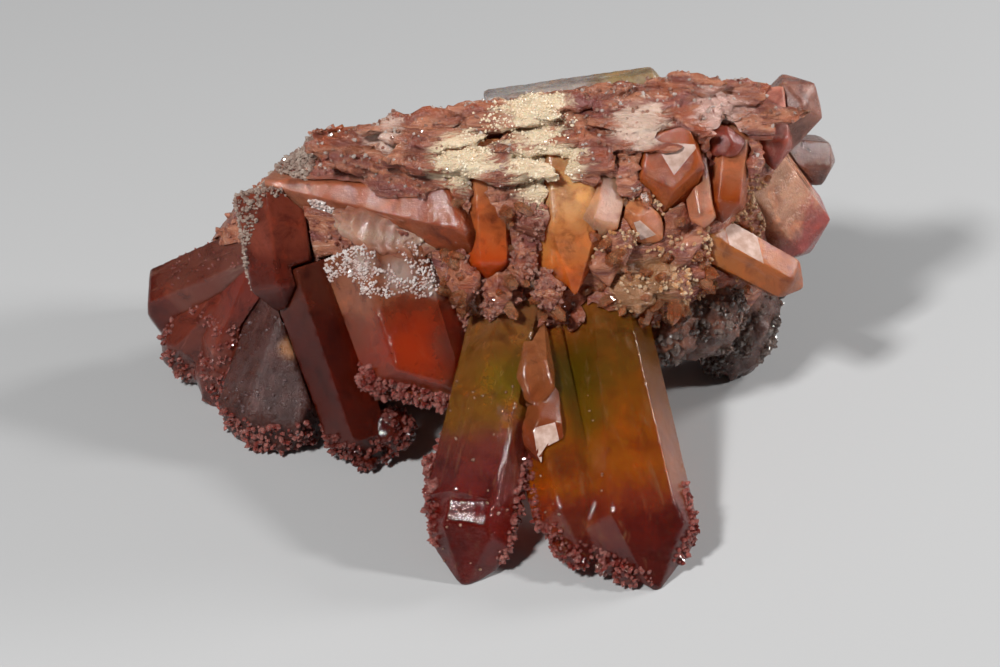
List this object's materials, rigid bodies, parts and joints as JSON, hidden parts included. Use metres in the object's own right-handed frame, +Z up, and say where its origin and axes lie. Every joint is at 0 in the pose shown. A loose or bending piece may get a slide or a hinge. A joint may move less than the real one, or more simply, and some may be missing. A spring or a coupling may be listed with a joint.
{
  "type": "hematoid quartz",
  "caption": "Cluster of iron-stained quartz crystals in amber, red and purple-brown on a massive quartz matrix, lying on its crystal tips.",
  "frame": {"origin": "middle of the footprint, on the ground that the crystal tips stand on", "axes": "+X to the viewer's right along the cluster's length, +Y away from the viewer, +Z up"},
  "size_m": [0.0874, 0.0587, 0.0451],
  "materials": {
    "amber_quartz": "glassy, etched, iron-stained",
    "red_quartz": "glassy, iron-stained",
    "smoky_quartz": "satin druse",
    "pale_quartz": "frosted",
    "matrix_quartz": "rough, broken"
  },
  "bodies": {
    "root": {"front_right_crystal": "amber_quartz", "front_left_crystal": "amber_quartz", "gap_crystals": "amber_quartz", "amber_crystal": "amber_quartz", "kite_crystal": "amber_quartz", "square_crystal": "amber_quartz", "round_clear_crystal": "amber_quartz", "triangle_crystal": "amber_quartz", "brown_crystal": "amber_quartz", "orange_red_crystal": "red_quartz", "centre_crystal": "red_quartz", "left_cluster": "red_quartz", "reclining_crystal": "red_quartz", "left_wedge_crystal": "red_quartz", "left_tip_crystal": "red_quartz", "dark_red_crystal": "red_quartz", "dark_triangle_crystal": "red_quartz", "back_point_crystal": "red_quartz", "back_left_crystal": "red_quartz", "back_middle_crystal": "red_quartz", "back_right_crystal": "red_quartz", "grey_crystal": "smoky_quartz", "smoky_mass": "smoky_quartz", "dark_round_crystal": "smoky_quartz", "drop_crystal": "pale_quartz", "upper_pink_crystal": "pale_quartz", "right_clear_crystal": "pale_quartz", "striated_crystal": "pale_quartz", "white_back_crystal": "pale_quartz", "matrix": "matrix_quartz"}
  },
  "joints": []
}
